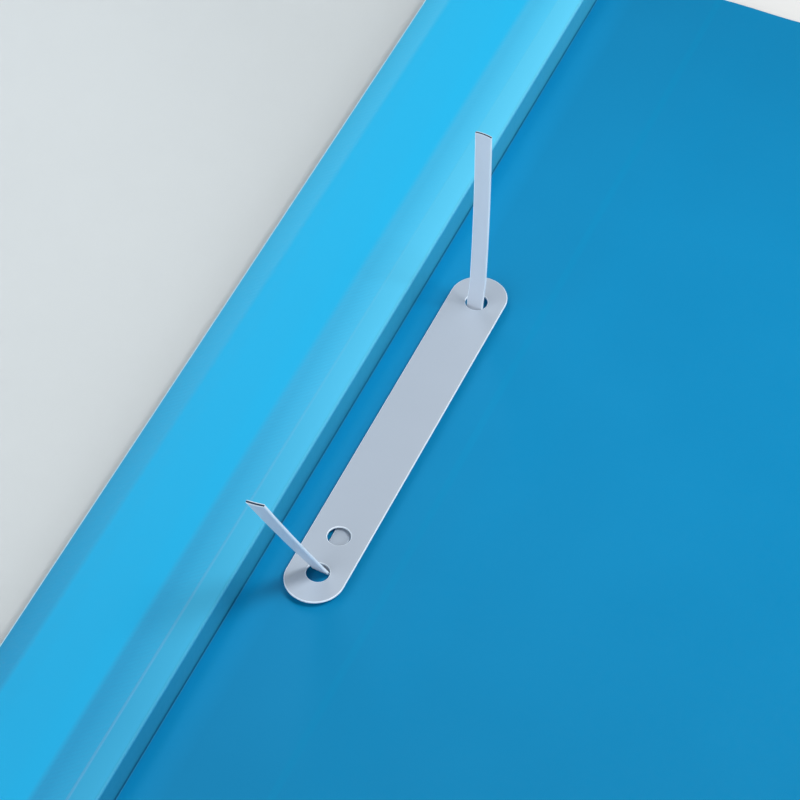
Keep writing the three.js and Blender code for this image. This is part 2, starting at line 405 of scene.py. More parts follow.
def finished(name, mesh, materials, level_faces=False):
    """Turns a bmesh into an object with smooth faces and sharp corners. With level_faces, the
    faces that lie level keep a flat shading up to their rim."""
    for face in mesh.faces:
        face.smooth = True
    for edge in mesh.edges:
        level = {abs(face.normal.z) > LEVEL_COSINE for face in edge.link_faces}
        rim = level_faces and len(level) == 2
        edge.smooth = edge.calc_face_angle(0) < SHARP_ANGLE and not rim
    data = bpy.data.meshes.new(name)
    mesh.to_mesh(data)
    mesh.free()
    for material in materials:
        data.materials.append(material)
    piece = bpy.data.objects.new(name, data)
    bpy.context.scene.collection.objects.link(piece)
    return piece


# Materials


def colour(red, green, blue):
    return (red, green, blue, 1.0)


def deeper(tone, share):
    return colour(*[part * share for part in tone[:3]])


class Wiring:
    """Short calls for the nodes of one tree."""

    def __init__(self, tree):
        self.tree = tree

    def node(self, kind, **settings):
        made = self.tree.nodes.new(kind)
        for key, value in settings.items():
            setattr(made, key, value)
        return made

    def feed(self, socket, source):
        if isinstance(source, bpy.types.NodeSocket):
            self.tree.links.new(source, socket)
        else:
            socket.default_value = source

    def math(self, operation, first, second=0.0):
        made = self.node("ShaderNodeMath", operation=operation)
        self.feed(made.inputs[0], first)
        self.feed(made.inputs[1], second)
        return made.outputs[0]

    def ranged(self, value, start, end, low, high, easing="LINEAR"):
        """Goes from low at start to high at end."""
        made = self.node("ShaderNodeMapRange", interpolation_type=easing)
        self.feed(made.inputs["Value"], value)
        made.inputs["From Min"].default_value = start
        made.inputs["From Max"].default_value = end
        made.inputs["To Min"].default_value = low
        made.inputs["To Max"].default_value = high
        return made.outputs[0]


class Shader(Wiring):
    """A material under construction."""

    def __init__(self, name):
        self.material = bpy.data.materials.new(name)
        self.material.use_nodes = True
        super().__init__(self.material.node_tree)
        self.tree.nodes.clear()
        self.output = self.node("ShaderNodeOutputMaterial")

    def flat(self):
        """Metres across and along the flat sheet."""
        return self.node("ShaderNodeUVMap", uv_map="Flat").outputs[0]

    def own(self):
        return self.node("ShaderNodeTexCoord").outputs["Object"]

    def split(self, place):
        parts = self.node("ShaderNodeSeparateXYZ")
        self.feed(parts.inputs[0], place)
        return parts.outputs[0], parts.outputs[1]

    def noise(self, place, scale, detail, stretch=(1, 1, 1)):
        mapping = self.node("ShaderNodeMapping")
        self.feed(mapping.inputs["Vector"], place)
        mapping.inputs["Scale"].default_value = stretch
        made = self.node("ShaderNodeTexNoise")
        self.feed(made.inputs["Vector"], mapping.outputs[0])
        made.inputs["Scale"].default_value = scale
        made.inputs["Detail"].default_value = detail
        return made.outputs["Fac"]

    def between(self, share, low, high):
        """Spreads the middle values of a noise from low to high."""
        return self.ranged(share, *NOISE_MIDDLE, low, high)

    def fade(self, length, start, end, low, high):
        """Goes from low to high between two places in millimetres."""
        return self.ranged(length, start * MM, end * MM, low, high)

    def within(self, length, start, end):
        """1 between two places in millimetres and 0 outside."""
        above = self.math("GREATER_THAN", length, start * MM)
        below = self.math("LESS_THAN", length, end * MM)
        return self.math("MULTIPLY", above, below)

    def ticks(self, length, pitch):
        """A wave along a length, with its pitch in millimetres."""
        return self.math("SINE", self.math("MULTIPLY", length, 2 * math.pi / (pitch * MM)))

    def tones(self, length, stops):
        """Tones that follow a length of the sheet, with their places in millimetres."""
        first = stops[0][0]
        last = stops[-1][0]
        ramp = self.node("ShaderNodeValToRGB")
        self.feed(ramp.inputs[0], self.fade(length, first, last, 0, 1))
        points = ramp.color_ramp.elements
        while len(points) < len(stops):
            points.new(0.5)
        for point, (place, tone) in zip(points, stops):
            point.position = (place - first) / (last - first)
            point.color = tone
        return ramp.outputs[0]

    def multiplied(self, first, second):
        made = self.node("ShaderNodeMix", data_type="RGBA", blend_type="MULTIPLY")
        made.inputs["Factor"].default_value = 1.0
        self.feed(made.inputs[6], first)
        self.feed(made.inputs[7], second)
        return made.outputs[2]

    def mixed(self, share, first, second):
        made = self.node("ShaderNodeMix", data_type="RGBA")
        self.feed(made.inputs["Factor"], share)
        self.feed(made.inputs[6], first)
        self.feed(made.inputs[7], second)
        return made.outputs[2]

    def bump(self, height, strength, distance, under=None):
        made = self.node("ShaderNodeBump")
        made.inputs["Strength"].default_value = strength
        made.inputs["Distance"].default_value = distance
        self.feed(made.inputs["Height"], height)
        if under is not None:
            self.feed(made.inputs["Normal"], under)
        return made.outputs[0]

    def plastic_grain(self, flat):
        """The fine grain of an embossed plastic sheet."""
        height = self.noise(flat, scale=GRAIN_SCALE, detail=3)
        return self.bump(height, strength=0.10, distance=0.0001)

    def plastic_gloss(self, flat, low, high):
        """Roughness that varies a little over a plastic sheet."""
        return self.between(self.noise(flat, scale=GLOSS_SCALE, detail=3), low, high)

    def principled(self, tone, roughness, normal=None, **values):
        made = self.node("ShaderNodeBsdfPrincipled")
        self.feed(made.inputs["Base Color"], tone)
        self.feed(made.inputs["Roughness"], roughness)
        if normal is not None:
            self.feed(made.inputs["Normal"], normal)
        for key, value in values.items():
            made.inputs[key.replace("_", " ")].default_value = value
        return made.outputs[0]

    def layered(self, share, first, second):
        """A mix of two surfaces."""
        made = self.node("ShaderNodeMixShader")
        self.feed(made.inputs[0], share)
        self.feed(made.inputs[1], first)
        self.feed(made.inputs[2], second)
        return made.outputs[0]

    def finish(self, surface):
        self.tree.links.new(surface, self.output.inputs["Surface"])
        return self.material


def blue_sheet():
    """Deep blue satin sheet with a faint knurled seam where the flap is welded on. Painted light
    makes it paler beside the spine wall, and painted shade makes it a little darker towards both
    ends."""
    shader = Shader("blue_sheet")
    flat = shader.flat()
    across, along = shader.split(flat)
    seam_start = SEAM_DISTANCE - SEAM_WIDTH / 2
    in_seam = shader.within(across, seam_start, seam_start + SEAM_WIDTH)
    cloud = shader.between(shader.noise(flat, scale=28, detail=2), 0, 1)
    plain = shader.mixed(cloud, colour(0.001, 0.240, 0.495), colour(0.002, 0.250, 0.512))
    base = shader.mixed(in_seam, plain, colour(0.0, 0.252, 0.510))
    # Painted light beside the spine wall, and painted shade towards both ends
    painted_wall_light = shader.fade(across, -EDGE_DISTANCE, PAINTED_WALL_LIGHT_END, PAINTED_WALL_LIGHT, 1.0)
    painted_lower_shade = shader.fade(along, *LOWER_SHADE_FADE, END_SHADE, 1.0)
    painted_upper_shade = shader.fade(along, *UPPER_SHADE_FADE, 1.0, END_SHADE)
    painted_end_shade = shader.math("MULTIPLY", painted_lower_shade, painted_upper_shade)
    base = shader.multiplied(base, shader.math("MULTIPLY", painted_wall_light, painted_end_shade))
    knurl = shader.math("MULTIPLY", in_seam, shader.ticks(along, SEAM_PITCH))
    swell = shader.noise(flat, scale=16, detail=1)
    wave = shader.bump(swell, strength=0.25, distance=0.001, under=shader.plastic_grain(flat))
    normal = shader.bump(knurl, strength=0.03, distance=0.00001, under=wave)
    roughness = shader.plastic_gloss(flat, low=0.42, high=0.52)
    return shader.finish(shader.principled(base, roughness, normal, Specular_IOR_Level=0.2))


def highlighted_cut_edge(name, tone):
    """The cut edge of a sheet, in a paler tone that is a painted highlight along the edge, with a
    little random variation.
    """
    shader = Shader(name)
    cloud = shader.between(shader.noise(shader.own(), scale=900, detail=2), 0, 1)
    base = shader.mixed(cloud, tone, deeper(tone, EDGE_SHADE))
    return shader.finish(shader.principled(base, roughness=0.5, Specular_IOR_Level=0.2))


def film_lines():
    """The lines across the spine film, as distances from the flap's edge along the film."""
    fold = EDGE_DISTANCE + FLAP_REACH
    ridge = fold + FOLD_RADIUS * (math.pi / 2 - WALL_LEAN) + wall_run
    band = ridge + BAND_WIDTH
    inner = band + INNER_WELD_WIDTH
    pocket = inner + POCKET_WIDTH
    free = pocket + OUTER_WELD_WIDTH
    return {
        "fold": fold,
        "ridge": ridge,
        "band": band,
        "inner": inner,
        "pocket": pocket,
        "free": free,
    }


def spine_film():
    """Light blue translucent film. Its tone changes across the file, with painted shade on the
    flap, the fold and the spine wall and a painted highlight along the crease. Painted shade makes
    it darker towards the lower end, but less so over the paper. The welds are knurled."""
    shader = Shader("spine_film")
    flat = shader.flat()
    across, along = shader.split(flat)
    lines = film_lines()
    stops = [
        (lines[line] + beyond, colour(*FILM_TONES[tone])) for line, beyond, tone in FILM_STOPS
    ]
    # Painted shade along the spine, weaker over the paper
    shade_stops = [(place, colour(*shares)) for place, shares in FILM_SHADE_STOPS]
    inner_start, inner_end = [lines["inner"] + part for part in INNER_POCKET_EASE]
    outer_start, outer_end = [lines["pocket"] + part for part in OUTER_POCKET_EASE]
    over_paper = shader.math(
        "MULTIPLY",
        shader.fade(across, inner_start, inner_end, 0.0, PAPER_SHARE),
        shader.fade(across, outer_start, outer_end, 1.0, 0.0),
    )
    painted_shade = shader.mixed(over_paper, shader.tones(along, shade_stops), colour(0.85, 0.92, 0.94))
    base = shader.multiplied(shader.tones(across, stops), painted_shade)
    score = lines["band"]
    in_score = shader.within(across, score - SCORE_WIDTH, score + SCORE_WIDTH)
    paleness = shader.fade(along, *WHITENING_FADE, WHITENING, 0.0)
    whitened = shader.math("MULTIPLY", in_score, paleness)
    base = shader.mixed(whitened, base, colour(0.95, 0.60, 0.80))
    in_welds = shader.math(
        "ADD",
        shader.within(across, lines["band"], lines["inner"]),
        shader.within(across, lines["pocket"], lines["free"]),
    )
    slant = shader.math("ADD", across, along)
    knurl = shader.math("MULTIPLY", in_welds, shader.ticks(slant, WELD_PITCH))
    swell = shader.noise(flat, scale=45, detail=1, stretch=(1, 0.3, 1))
    wave = shader.bump(swell, strength=0.15, distance=0.0004, under=shader.plastic_grain(flat))
    normal = shader.bump(knurl, strength=0.26, distance=0.00004, under=wave)
    roughness = shader.plastic_gloss(flat, low=0.44, high=0.54)
    surface = shader.principled(
        base, roughness, normal, Specular_IOR_Level=0.25, Alpha=FILM_ALPHA
    )
    return shader.finish(surface)


def clear_film():
    """Clear hard film with a slight haze and a satin skin."""
    shader = Shader("clear_film")
    flat = shader.flat()
    swell = shader.noise(flat, scale=14, detail=0)
    wave = shader.bump(swell, strength=0.2, distance=0.001)
    through = shader.node("ShaderNodeBsdfTransparent")
    through.inputs["Color"].default_value = colour(0.960, 0.976, 0.985)
    haze = shader.node("ShaderNodeBsdfDiffuse")
    haze.inputs["Color"].default_value = colour(0.80, 0.86, 0.90)
    gloss = shader.node("ShaderNodeBsdfAnisotropic")
    gloss.inputs["Roughness"].default_value = 0.3
    shader.feed(gloss.inputs["Normal"], wave)
    haze_share = shader.between(shader.noise(flat, scale=60, detail=3), *HAZE_RANGE)
    body = shader.layered(haze_share, through.outputs[0], haze.outputs[0])
    rim = shader.node("ShaderNodeLayerWeight")
    shader.feed(rim.inputs["Normal"], wave)
    grazing = shader.math("POWER", rim.outputs["Facing"], GRAZING_POWER)
    mirror = shader.math("ADD", shader.math("MULTIPLY", grazing, GRAZING_GLOSS), FACING_GLOSS)
    return shader.finish(shader.layered(mirror, body, gloss.outputs[0]))


def label_paper():
    """Plain white paper with short fibres."""
    shader = Shader("label_paper")
    fibres = shader.noise(shader.flat(), scale=1500, detail=5, stretch=(1, 0.35, 1))
    share = shader.between(fibres, 0, 1)
    base = shader.mixed(share, colour(0.83, 0.83, 0.81), colour(0.90, 0.90, 0.89))
    normal = shader.bump(fibres, strength=0.3, distance=0.00005)
    surface = shader.principled(base, roughness=0.92, normal=normal, Specular_IOR_Level=0.2)
    return shader.finish(surface)


def white_steel(name, tone):
    """White baked enamel on steel, with a fine orange peel."""
    shader = Shader(name)
    own = shader.own()
    cloud = shader.between(shader.noise(own, scale=120, detail=2), 0, 1)
    base = shader.mixed(cloud, tone, deeper(tone, ENAMEL_SHADE))
    peel = shader.bump(shader.noise(own, scale=1400, detail=2), strength=0.12, distance=0.00008)
    gloss = shader.noise(own, scale=600, detail=3)
    roughness = shader.between(gloss, low=0.34, high=0.44)
    return shader.finish(shader.principled(base, roughness, peel))


def bare_steel():
    """Sheared steel at the cut tips, with marks along the cut."""
    shader = Shader("bare_steel")
    marks = shader.noise(shader.own(), scale=4000, detail=3, stretch=(1, 1, 0.2))
    base = shader.mixed(marks, colour(0.004, 0.018, 0.040), colour(0.012, 0.048, 0.100))
    return shader.finish(shader.principled(base, roughness=0.5, Metallic=0.3))


sheet_material = blue_sheet()
# The cut edges take a paler tone, a painted highlight.
sheet_edge_highlight = highlighted_cut_edge("blue_sheet_edge_highlight", colour(0.03, 0.32, 0.59))
film_material = spine_film()
film_edge_highlight = highlighted_cut_edge("spine_film_edge_highlight", colour(0.48, 0.75, 0.90))
clear_material = clear_film()
paper_material = label_paper()
bar_material = white_steel("bar_enamel", colour(0.415, 0.482, 0.570))
steel_material = white_steel("strip_enamel", colour(0.56, 0.62, 0.705))
# A paler enamel on the rounded rims, a painted highlight.
rim_highlight_material = white_steel("enamel_rim_highlight", colour(0.68, 0.77, 0.86))
core_material = bare_steel()


# Covers


def cover_grid(inner_rows, outer, columns):
    """Plan points of a cover, square at the spine and rounded at its outer corners."""
    half = SHEET_LENGTH / 2
    angles = np.linspace(0, math.pi / 2, CORNER_POINTS)
    corner_rows = outer - math.copysign(CORNER_RADIUS, outer) * (1 - np.sin(angles))
    corner_reaches = half - CORNER_RADIUS * (1 - np.cos(angles))
    rows = np.concatenate([inner_rows, corner_rows])
    reaches = np.concatenate([np.full(len(inner_rows), half), corner_reaches])
    plan = np.zeros((len(rows), len(columns), 2))
    plan[:, :, 0] = rows[:, None]
    plan[:, :, 1] = np.asarray(columns)[None, :] * (reaches / half)[:, None]
    return plan


def eased_border(top, bottom, amount):
    """Takes the corner off the border rows of a sheet."""
    border = np.zeros(top.shape[:2], bool)
    border[[0, -1], :] = True
    border[:, [0, -1]] = True
    top[border, 2] -= amount
    bottom[border, 2] += amount


def lip_paint(kind, cell):
    """The wall takes the second material, the painted edge highlight, and so does the eased lip
    along the spine.
    """
    return 1 if is_wall(kind) or cell[0] == 0 else 0


def back_sheet():
    half = SHEET_LENGTH / 2
    foot = STRAP_SPAN / 2
    strap = STRAP_LENGTH / 2
    step_end = STEP_START + STEP_WIDTH
    strap_columns = [*STRAP_COLUMNS, strap, strap + SLIT_WIDTH]
    columns = both_ways([*strap_columns, *BACK_COLUMNS, half - CUT_EDGE, half])
    left = -EDGE_DISTANCE
    rows = [left, left + SPINE_LIP, *SPINE_SIDE_ROWS]
    rows += [*np.linspace(-foot, foot, STRAP_POINTS), *OPEN_SIDE_ROWS, STEP_START]
    rows += [*onward(STEP_START, step_end, STEP_POINTS), *BACK_ROWS]
    plan = cover_grid(rows, left + BACK_WIDTH, columns)
    x = plan[:, :, 0]
    y = plan[:, :, 1]
    under = FILM_THICKNESS * (1 - smooth(x, STEP_START, step_end))
    raised = (np.abs(x) < foot) & (np.abs(y) < strap + SLIT_WIDTH / 2)
    rise = (STRAP_UNDERSIDE - FILM_THICKNESS) * (1 - smooth(np.abs(x), STRAP_CROWN / 2, foot))
    under = under + np.where(raised, rise, 0)
    bottom = np.dstack([x, y, under])
    top = np.dstack([x, y, under + BACK_THICKNESS])
    eased_border(top, bottom, CUT_EDGE)
    middle_x = (x[:-1, :-1] + x[1:, 1:]) / 2
    middle_y = (y[:-1, :-1] + y[1:, 1:]) / 2
    in_slit = (np.abs(middle_y) > strap) & (np.abs(middle_y) < strap + SLIT_WIDTH)
    keep = ~(in_slit & (np.abs(middle_x) < foot))
    materials = [sheet_material, sheet_edge_highlight]
    piece = slab("back_sheet", top, bottom, plan, materials, keep, paint=lip_paint)
    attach(piece, "back")
    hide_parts("back_cover")


def clear_cover():
    half = SHEET_LENGTH / 2
    columns = both_ways([*CLEAR_COLUMNS, half - CUT_EDGE, half])
    rows = [-BAND_WIDTH, -BAND_WIDTH - CUT_EDGE, *CLEAR_ROWS]
    plan = cover_grid(rows, -FRONT_WIDTH, columns)
    shape = plan.shape[:2]
    top, bottom = [np.dstack([plan, np.full(shape, z)]) for z in (clear_top, clear_bottom)]
    eased_border(top, bottom, CLEAR_THICKNESS / 4)
    for grid in (top, bottom):
        moved = front_to_file(grid[:, :, 0], grid[:, :, 2])
        grid[:, :, 0] = moved[0]
        grid[:, :, 2] = moved[1]
    piece = slab("clear_cover", top, bottom, plan, [clear_material])
    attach(piece, "front")
    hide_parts("front_cover")


def paper_label():
    right = -BAND_WIDTH - INNER_WELD_WIDTH - LABEL_SIDE_GAP
    left = right - POCKET_WIDTH + 2 * LABEL_SIDE_GAP
    half = LABEL_LENGTH / 2
    xs = np.linspace(left, right, LABEL_POINTS[0])
    ys = np.linspace(-half, half, LABEL_POINTS[1])
    x, y = np.meshgrid(xs, ys, indexing="ij")
    low = -FILM_THICKNESS / 2
    grids = []
    for height in (low + LABEL_THICKNESS, low):
        moved = front_to_file(x, np.full(x.shape, height))
        grids.append(np.dstack([moved[0], y, moved[1]]))
    piece = slab("paper_label", *grids, np.dstack([x, y]), [paper_material])
    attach(piece, "label")
    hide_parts("label_insert")


# Spine film, from the flap under the back cover to the free edge of the label strip


def flap_and_wall():
    """Stations of the flap, the fold, the spine wall and the crease: the middle of the film, the
    direction to its inner side, the distance along it and half its thickness there."""
    half = FILM_THICKNESS / 2
    up = np.array([0.0, 1.0])
    stations = [(np.array([FLAP_REACH, half]), up, 0, half - CUT_EDGE)]
    for x in (FLAP_REACH - CUT_EDGE, *FLAP_ROWS, -EDGE_DISTANCE):
        stations.append((np.array([x, half]), up, FLAP_REACH - x, half))
    run = FLAP_REACH + EDGE_DISTANCE
    fold_angle = math.pi / 2 - WALL_LEAN
    centre = np.array([-EDGE_DISTANCE, half + FOLD_RADIUS])
    for angle in onward(0, fold_angle, ROUND_STEPS + 1):
        outward = np.array([-math.sin(angle), -math.cos(angle)])
        middle = centre + FOLD_RADIUS * outward
        stations.append((middle, -outward, run + FOLD_RADIUS * angle, half))
    run += FOLD_RADIUS * fold_angle
    wall_side = np.array([wall_aim[1], -wall_aim[0]])
    turn = fold_angle + front_slope
    cut = CREASE_RADIUS * math.tan(turn / 2)
    wall_end = wall_run - cut
    for distance in (*WALL_ROWS, wall_end):
        stations.append((wall_foot + wall_aim * distance, wall_side, run + distance, half))
    crease_centre = wall_foot + wall_aim * wall_end - wall_side * CREASE_RADIUS
    start = math.atan2(wall_side[1], wall_side[0])
    for share in onward(0, 1, ROUND_STEPS + 1):
        angle = start + turn * share
        outward = np.array([math.cos(angle), math.sin(angle)])
        middle = crease_centre + CREASE_RADIUS * outward
        stations.append((middle, outward, run + wall_end + 2 * cut * share, half))
    return stations


def panel_places():
    """Distances from the crease where the label strip has a station."""
    score = BAND_WIDTH
    inner = BAND_WIDTH + INNER_WELD_WIDTH
    outer = inner + POCKET_WIDTH
    free = outer + OUTER_WELD_WIDTH
    places = [*BAND_ROWS, score - SCORE_WIDTH, score - SCORE_WIDTH / 2, score]
    places += [score + SCORE_WIDTH / 2, score + SCORE_WIDTH, score + INNER_WELD_ROW]
    places += list(np.linspace(inner - WELD_EASE, inner, WELD_POINTS))
    places += onward(inner, inner + POCKET_STEP, POCKET_STEP_POINTS)
    places += onward(inner + POCKET_STEP, inner + POCKET_EASE, POCKET_EASE_POINTS)
    places += onward(inner + POCKET_EASE, outer - POCKET_EASE, POCKET_POINTS)
    places += onward(outer - POCKET_EASE, outer - POCKET_STEP, POCKET_EASE_POINTS)
    places += onward(outer - POCKET_STEP, outer, POCKET_STEP_POINTS)
    places += onward(outer, outer + WELD_EASE, WELD_POINTS)
    return places + [outer + OUTER_WELD_ROW, free - FREE_EDGE, free]


def panel_heights(place):
    """Heights of the label strip's upper and lower side at a distance from the crease."""
    half = FILM_THICKNESS / 2
    inner = BAND_WIDTH + INNER_WELD_WIDTH
    outer = inner + POCKET_WIDTH
    lift = POCKET_LIFT * smooth(place, inner, inner + POCKET_STEP)
    lift *= 1 - smooth(place, outer - POCKET_STEP, outer)
    raised = smooth(place, inner - WELD_EASE, inner + POCKET_EASE)
    raised *= 1 - smooth(place, outer - POCKET_EASE, outer + WELD_EASE)
    pressed = smooth(place, BAND_WIDTH, BAND_WIDTH + SCORE_WIDTH)
    over = half - WELD_DEPTH * pressed + (POCKET_LIFT + WELD_DEPTH) * raised
    if abs(place - BAND_WIDTH) < SCORE_WIDTH / 4:
        over = half + SCORE_HEIGHT
    return over, lift - half


def film_section():
    """Pairs of points on the inner and outer side of the film, and the distance along it."""
    inner = []
    outer = []
    along = []
    for middle, side, distance, half in flap_and_wall():
        inner.append(middle + side * half)
        outer.append(middle - side * half)
        along.append(distance)
    ridge = film_lines()["ridge"]
    places = panel_places()
    for place in places:
        over, under = panel_heights(place)
        if place == places[-1]:
            over -= FREE_EDGE_EASE
            under += FREE_EDGE_EASE
        inner.append(front_to_file(-place, over))
        outer.append(front_to_file(-place, under))
        along.append(ridge + place)
    return np.array(inner), np.array(outer), np.array(along)


def spine_sheet():
    inner, outer, along = film_section()
    ys = np.array(both_ways([*FILM_COLUMNS, SHEET_LENGTH / 2]))
    grids = []
    for side in (inner, outer):
        points = np.zeros((len(side), len(ys), 3))
        points[:, :, 0] = side[:, None, 0]
        points[:, :, 1] = ys[None, :]
        points[:, :, 2] = side[:, None, 1]
        grids.append(points)
    flat_map = np.zeros((len(along), len(ys), 2))
    flat_map[:, :, 0] = along[:, None]
    flat_map[:, :, 1] = ys[None, :]
    last = len(along) - 2

    # The walls and the free edge take the painted edge highlight.
    def paint(kind, cell):
        return 1 if is_wall(kind) or cell[0] == last else 0

    piece = slab("spine_sheet", *grids, flat_map, [film_material, film_edge_highlight], paint=paint)
    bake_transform(piece)
    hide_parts("spine_back_flap", "spine_wall", "spine_front_panel")


# Steel strip


def strip_across():
    """Places across the strip with half the thickness there, rounded at both edges."""
    angles = np.linspace(0, math.pi / 2, RIM_STEPS + 1)
    rim = STRIP_WIDTH / 2 - STRIP_EDGE_RADIUS * (1 - np.sin(angles))
    rim_halves = STRIP_THICKNESS / 2 - STRIP_EDGE_RADIUS * (1 - np.cos(angles))
    flat_places = np.linspace(-rim[0], rim[0], FLAT_STEPS + 1)[1:-1]
    flat_halves = np.full(FLAT_STEPS - 1, STRIP_THICKNESS / 2)
    across = np.concatenate([-rim[::-1], flat_places, rim])
    halves = np.concatenate([rim_halves[::-1], flat_halves, rim_halves])
    return across, halves


def coat_paint(kind, cell):
    """The rounded rim of the coat takes a paler enamel, a painted highlight, and the steel core
    shows in the cut tip.
    """
    if kind == ("end", 1):
        return 2
    on_rim = is_wall(kind) or not RIM_STEPS <= cell[1] < RIM_STEPS + FLAT_STEPS
    return 1 if on_rim else 0


def strip(name, path, sides, arch, materials):
    """A steel strip along a path. sides gives the direction across it at each station and arch
    how far its middle stands out."""
    across, halves = strip_across()
    normals = unit_rows(np.cross(sides, unit_rows(np.gradient(path, axis=0))))
    bulge = 0.5 - (2 * across / STRIP_WIDTH) ** 2
    grids = []
    for sign in (1, -1):
        out = arch[:, None] * bulge[None, :] + sign * halves[None, :]
        grids.append(
            path[:, None, :]
            + sides[:, None, :] * across[None, :, None]
            + normals[:, None, :] * out[:, :, None]
        )
    steps = np.linalg.norm(np.diff(path, axis=0), axis=1)
    flat_map = np.zeros((len(path), len(across), 2))
    flat_map[:, :, 0] = across[None, :]
    flat_map[:, :, 1] = np.concatenate([[0], np.cumsum(steps)])[:, None]
    low = (1 - CORE_SHARE) / 2
    levels = (0, low, 1 - low, 1)
    return slab(name, *grids, flat_map, materials, levels=levels, paint=coat_paint)


def strip_base():
    ys = np.linspace(-BASE_END, BASE_END, BASE_POINTS)
    level = cover_top + STRIP_THICKNESS / 2
    path = np.column_stack([np.full(len(ys), FOOT_OFFSET), ys, np.full(len(ys), level)])
    sides = np.tile([1.0, 0.0, 0.0], (len(ys), 1))
    # The base is the same enamelled strip as the prongs but wears the greyer bar enamel as painted
    # shade under the bar.
    materials = [bar_material, rim_highlight_material, bar_material]
    piece = strip("strip_base", path, sides, np.zeros(len(ys)), materials)
    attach(piece, "back")
    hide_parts("fastener_base")


def prong_seam(prong):
    """Where a prong leaves the base, and the direction it leaves in, both in its own frame."""
    unturn = Matrix.Rotation(-prong["turn"], 3, "Z")
    outward = math.copysign(1, prong["foot"])
    seam = unturn @ Vector((-prong["shift"], outward * BASE_END - prong["foot"], 0))
    aim = unturn @ Vector((0, outward, 0))
    return seam, np.array([*aim])


def prong_line(prong):
    """Points of a prong's middle line in its own frame, with +Y outward and the origin under the
    place where the line crosses the top of the bar, and the point of the fold line."""
    lean = math.radians(prong["lean"])
    curve = math.radians(prong["curve"])
    level = cover_top + STRIP_THICKNESS / 2
    turn = math.pi / 2 - lean
    bend_top = level + BEND_RADIUS * (1 - math.cos(turn))
    reach = BEND_RADIUS * math.sin(turn) + (BAR_TOP - bend_top) * math.tan(lean)
    seam, aim = prong_seam(prong)
    start = np.array([seam.x, seam.y, level])
    bend = np.array([0, -reach, level])
    run = np.linalg.norm(bend - start)
    points = []
    for share in np.linspace(0, 1, SEAM_POINTS):
        eased = share * share * (3 - 2 * share)
        leaving = (share**3 - 2 * share**2 + share) * run
        arriving = (share**3 - share**2) * run
        point = start + (bend - start) * eased + aim * leaving
        points.append(point + np.array([0, 1.0, 0]) * arriving)
    for angle in onward(0, turn, BEND_POINTS):
        rise = BEND_RADIUS * (1 - math.cos(angle))
        points.append(bend + np.array([0, BEND_RADIUS * math.sin(angle), rise]))
    fold = np.array([0, (FOLD_HEIGHT - BAR_TOP) * math.tan(lean), FOLD_HEIGHT])
    riser = points[-1]
    for share in onward(0, 1, RISER_POINTS):
        points.append(riser + (fold - riser) * share)
    radius = prong["length"] / curve
    for share in onward(0, ROOT_SHARE, ROOT_POINTS) + onward(ROOT_SHARE, 1, BLADE_POINTS):
        angle = curve * share
        out = radius * (math.cos(lean - angle) - math.cos(lean))
        rise = radius * (math.sin(lean) - math.sin(lean - angle))
        points.append(fold + np.array([0, out, rise]))
    points = np.array(points)
    heights = points[:, 2]
    fading = np.clip((heights[-1] - heights) / (heights[-1] - BOW_HEIGHT), 0, 1)
    points[:, 0] += prong["bow"] * smooth(heights, BAR_TOP, BOW_HEIGHT) * fading
    points[:, 0] -= prong["shift"] * (1 - fading)
    return points, fold


def prong_sides(prong, points):
    """Directions across a prong at its points, in its own frame. They start square to the base
    and twist towards the tip."""
    aim = prong_seam(prong)[1]
    first = np.array([aim[1], -aim[0], 0])
    across = np.array([1.0, 0, 0])
    sides = np.tile(across, (len(points), 1))
    for index, share in enumerate(np.linspace(0, 1, SEAM_POINTS)):
        sides[index] = first * (1 - share) + across * share
    heights = points[:, 2]
    twisted = np.clip((heights - FOLD_HEIGHT) / (heights[-1] - FOLD_HEIGHT), 0, 1)
    twists = math.radians(prong["twist"]) * twisted
    fronts = np.cross(unit_rows(np.gradient(points, axis=0)), sides)
    return sides * np.cos(twists)[:, None] + fronts * np.sin(twists)[:, None]


def prong_strip(which):
    prong = PRONGS[which]
    points, fold = prong_line(prong)
    turn = np.array(Matrix.Rotation(prong["turn"], 3, "Z"))
    foot = np.array([FOOT_OFFSET + prong["shift"], prong["foot"], 0])
    path = points @ turn.T + foot
    sides = prong_sides(prong, points) @ turn.T
    arch = -prong["arch"] * smooth(points[:, 2], BAR_TOP, ARCH_HEIGHT)
    # The rounded rims take the painted rim highlight.
    materials = [steel_material, rim_highlight_material, core_material]
    piece = strip(f"prong_strip_{which}", path, sides, arch, materials)
    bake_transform(piece)
    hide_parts(f"prong_{which}")


# Pressing bar


def ring(curve, points):
    spline = curve.splines.new("POLY")
    spline.points.add(len(points) - 1)
    for point, (x, y) in zip(spline.points, points):
        point.co = (x * MM, y * MM, 0, 1)
    spline.use_cyclic_u = True


